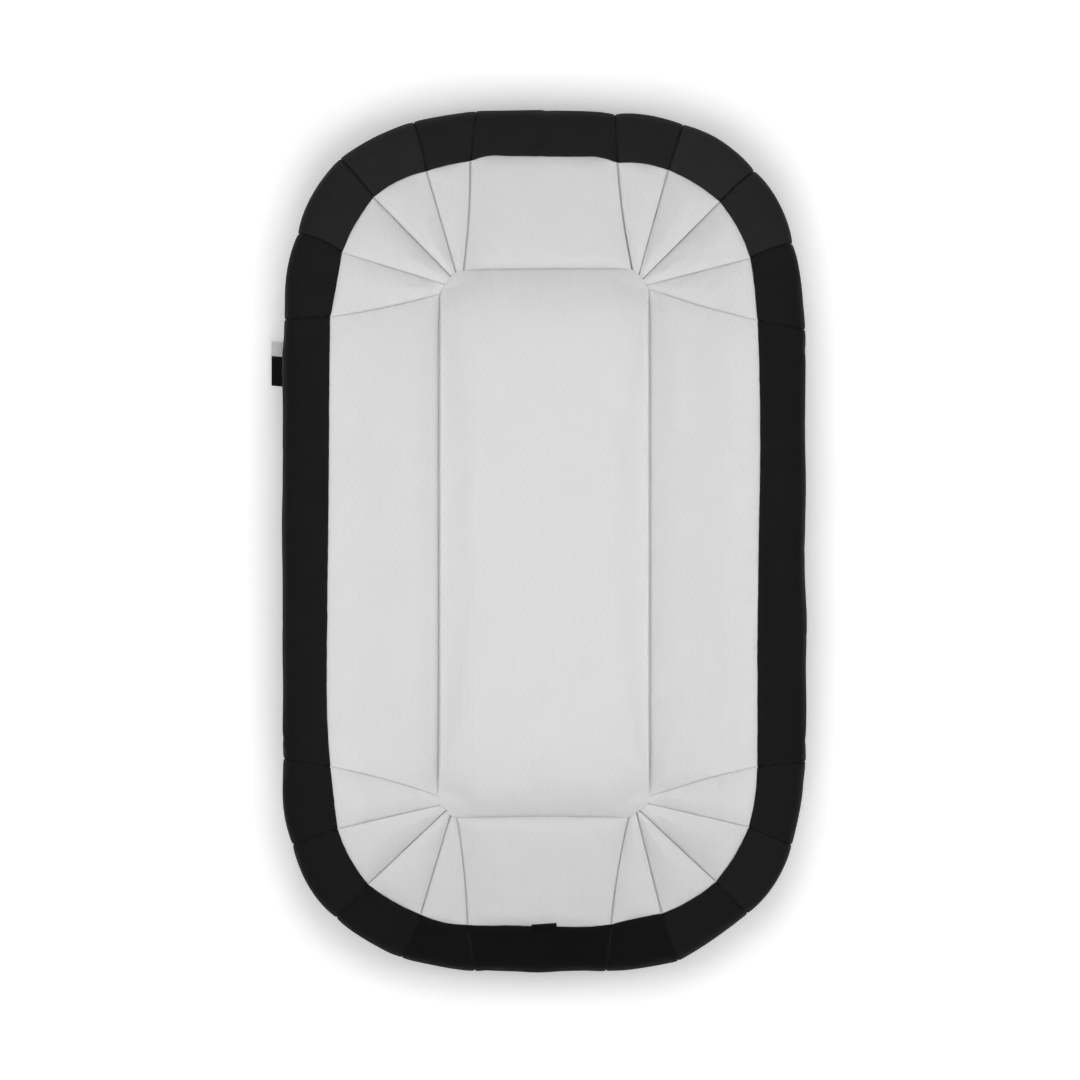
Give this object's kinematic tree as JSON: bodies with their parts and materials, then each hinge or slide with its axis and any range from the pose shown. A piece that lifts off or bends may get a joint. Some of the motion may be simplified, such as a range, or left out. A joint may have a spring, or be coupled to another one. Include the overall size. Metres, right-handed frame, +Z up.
{
  "type": "infant lounger",
  "caption": "Padded infant nest with a crowned sleep mat, sloping quilted walls gusseted at the corners, a dark boxed rim and a zip in its edge seam",
  "frame": {"origin": "on the floor under the middle of the mat", "axes": "+Z up, +Y towards the head end, +X to the right seen from above with the head end up"},
  "size_m": [0.6208, 1, 0.1],
  "materials": {
    "pale_mesh": "matte knitted spacer mesh",
    "dark_knit": "smooth matte knit",
    "foam": "matte open cell foam",
    "zip_weave": "woven tape",
    "zip_plastic": "satin",
    "zip_metal": "satin",
    "pale_weave": "fine woven label",
    "dark_weave": "fine woven label"
  },
  "bodies": {
    "lounger": {"mat_cover": "pale_mesh", "mat_foam": "foam", "underside_cover": "dark_knit", "wall_cover_left": "pale_mesh", "rim_cover_left": "dark_knit", "side_foam_left": "foam", "wall_cover_right": "pale_mesh", "rim_cover_right": "dark_knit", "side_foam_right": "foam", "wall_cover_head": "pale_mesh", "rim_cover_head": "dark_knit", "side_foam_head": "foam", "wall_cover_foot": "pale_mesh", "rim_cover_foot": "dark_knit", "side_foam_foot": "foam", "wall_gusset_head_right_1": "pale_mesh", "rim_gusset_head_right_1": "dark_knit", "wall_gusset_head_right_2": "pale_mesh", "rim_gusset_head_right_2": "dark_knit", "wall_gusset_head_right_3": "pale_mesh", "rim_gusset_head_right_3": "dark_knit", "wall_gusset_head_right_4": "pale_mesh", "rim_gusset_head_right_4": "dark_knit", "corner_foam_head_right": "foam", "wall_gusset_foot_right_1": "pale_mesh", "rim_gusset_foot_right_1": "dark_knit", "wall_gusset_foot_right_2": "pale_mesh", "rim_gusset_foot_right_2": "dark_knit", "wall_gusset_foot_right_3": "pale_mesh", "rim_gusset_foot_right_3": "dark_knit", "wall_gusset_foot_right_4": "pale_mesh", "rim_gusset_foot_right_4": "dark_knit", "corner_foam_foot_right": "foam", "wall_gusset_foot_left_1": "pale_mesh", "rim_gusset_foot_left_1": "dark_knit", "wall_gusset_foot_left_2": "pale_mesh", "rim_gusset_foot_left_2": "dark_knit", "wall_gusset_foot_left_3": "pale_mesh", "rim_gusset_foot_left_3": "dark_knit", "wall_gusset_foot_left_4": "pale_mesh", "rim_gusset_foot_left_4": "dark_knit", "corner_foam_foot_left": "foam", "wall_gusset_head_left_1": "pale_mesh", "rim_gusset_head_left_1": "dark_knit", "wall_gusset_head_left_2": "pale_mesh", "rim_gusset_head_left_2": "dark_knit", "wall_gusset_head_left_3": "pale_mesh", "rim_gusset_head_left_3": "dark_knit", "wall_gusset_head_left_4": "pale_mesh", "rim_gusset_head_left_4": "dark_knit", "corner_foam_head_left": "foam", "zip_tape_upper": "zip_weave", "zip_tape_lower": "zip_weave", "zip_coil_upper": "zip_plastic", "zip_coil_lower": "zip_plastic", "side_label_pale": "pale_weave", "side_label_dark": "dark_weave", "care_label": "dark_weave"},
    "slider": {"zip_slider": "zip_metal"},
    "pull": {"zip_pull": "zip_metal"}
  },
  "joints": [
    {"name": "zip_run", "type": "slide", "parent": "lounger", "child": "slider", "axis": [0, 1, 0], "range_m": [0, 0.446]},
    {"name": "pull_swing", "type": "hinge", "parent": "slider", "child": "pull", "pos_m": [0.29725, -0.22312, 0.027], "axis": [0, 0, 1], "range_deg": [0, 170]}
  ]
}
